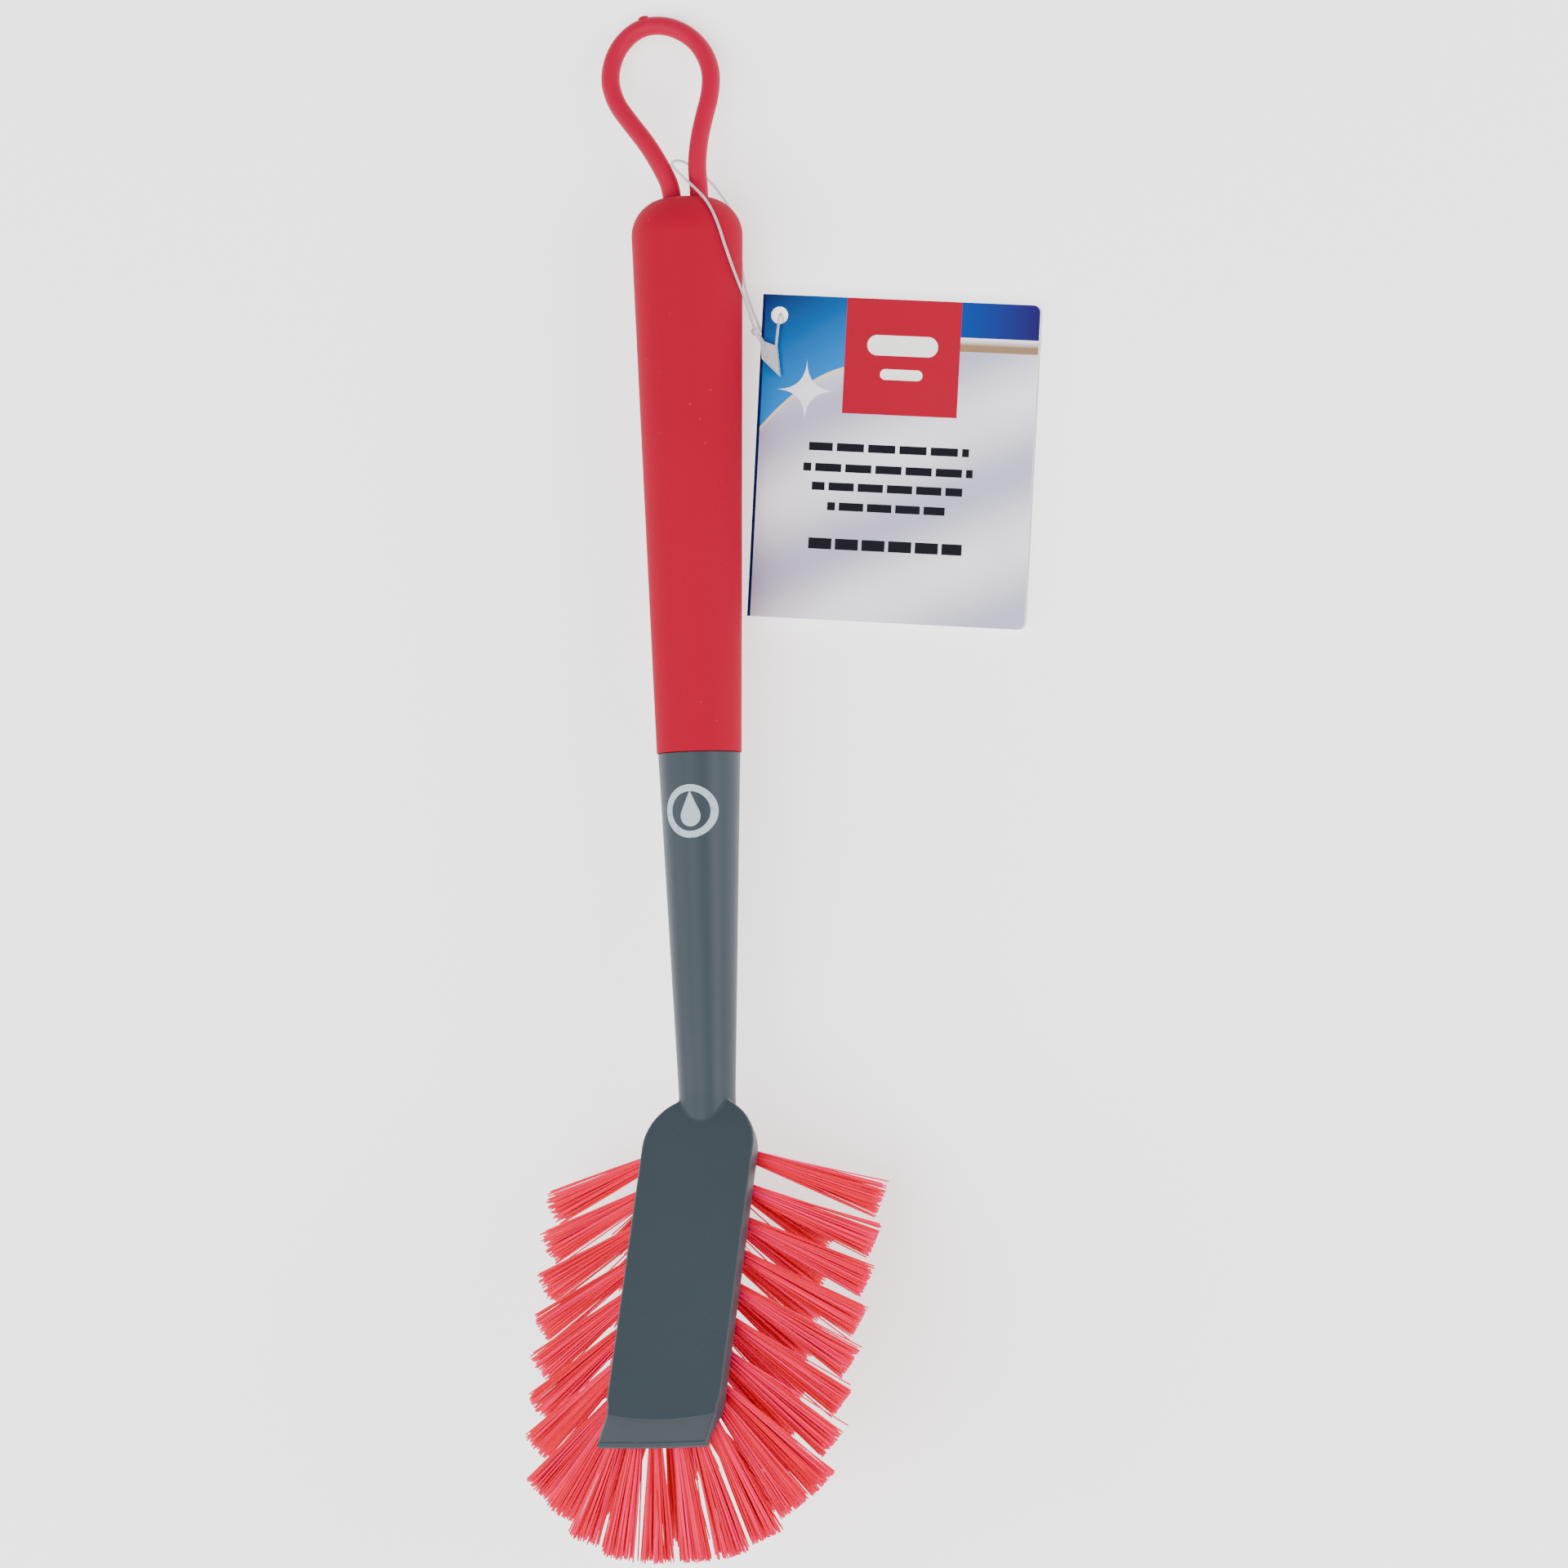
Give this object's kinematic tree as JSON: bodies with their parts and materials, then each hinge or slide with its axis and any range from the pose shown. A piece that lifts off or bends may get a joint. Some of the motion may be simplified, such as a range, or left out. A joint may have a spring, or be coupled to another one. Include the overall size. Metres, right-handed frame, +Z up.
{
  "type": "dishwashing brush",
  "caption": "Long-handled dishwashing brush with a bent head of splayed tufts, scraper tip, soft grip, rubber hanging loop and a folded swing tag.",
  "frame": {"origin": "on the table, under the middle of the brush as it lies on its bristles and the end of its grip, without its loop and tag", "axes": "+Z up from the table, +Y towards the grip's end and the hanging loop, -Y towards the head's tip, +X towards the side where the tag lies"},
  "size_m": [0.1089, 0.3177, 0.0727],
  "materials": {
    "grey_plastic": "satin moulded polypropylene, slate grey",
    "soft_grip": "matte soft-touch elastomer, red",
    "loop_rubber": "satin moulded rubber, red",
    "bristle": "slightly glossy nylon filament, bright red",
    "staple_wire": "drawn flat wire",
    "clear_plastic": "milky translucent plastic",
    "printed_card": "coated printed card, satin"
  },
  "bodies": {
    "brush": {"brush_body": "grey_plastic", "grip_sleeve": "soft_grip", "loop_anchor": "loop_rubber", "loop_legs": "loop_rubber", "tufts_01": "bristle", "tufts_02": "bristle", "tufts_03": "bristle", "tufts_04": "bristle", "tufts_05": "bristle", "tufts_06": "bristle", "tufts_07": "bristle", "tufts_08": "bristle", "tufts_nose": "bristle", "staples_01": "staple_wire", "staples_02": "staple_wire", "staples_03": "staple_wire", "staples_04": "staple_wire", "staples_05": "staple_wire", "staples_06": "staple_wire", "staples_07": "staple_wire", "staples_08": "staple_wire", "staples_nose": "staple_wire", "tag_tie": "clear_plastic", "tag_lock": "clear_plastic"},
    "loop": {"hanging_loop": "loop_rubber"},
    "tag": {"swing_tag": "printed_card"}
  },
  "joints": [
    {"name": "loop_flex", "type": "hinge", "parent": "brush", "child": "loop", "pos_m": [0, 0.1525, 0.0099], "axis": [1, 0, 0], "range_deg": [-50, 80], "stiffness_Nm_per_rad": 0.012},
    {"name": "tag_swing", "type": "hinge", "parent": "brush", "child": "tag", "pos_m": [0.0172, 0.11577, 0.0035], "axis": [0, 0, 1], "range_deg": [-10, 75]}
  ]
}
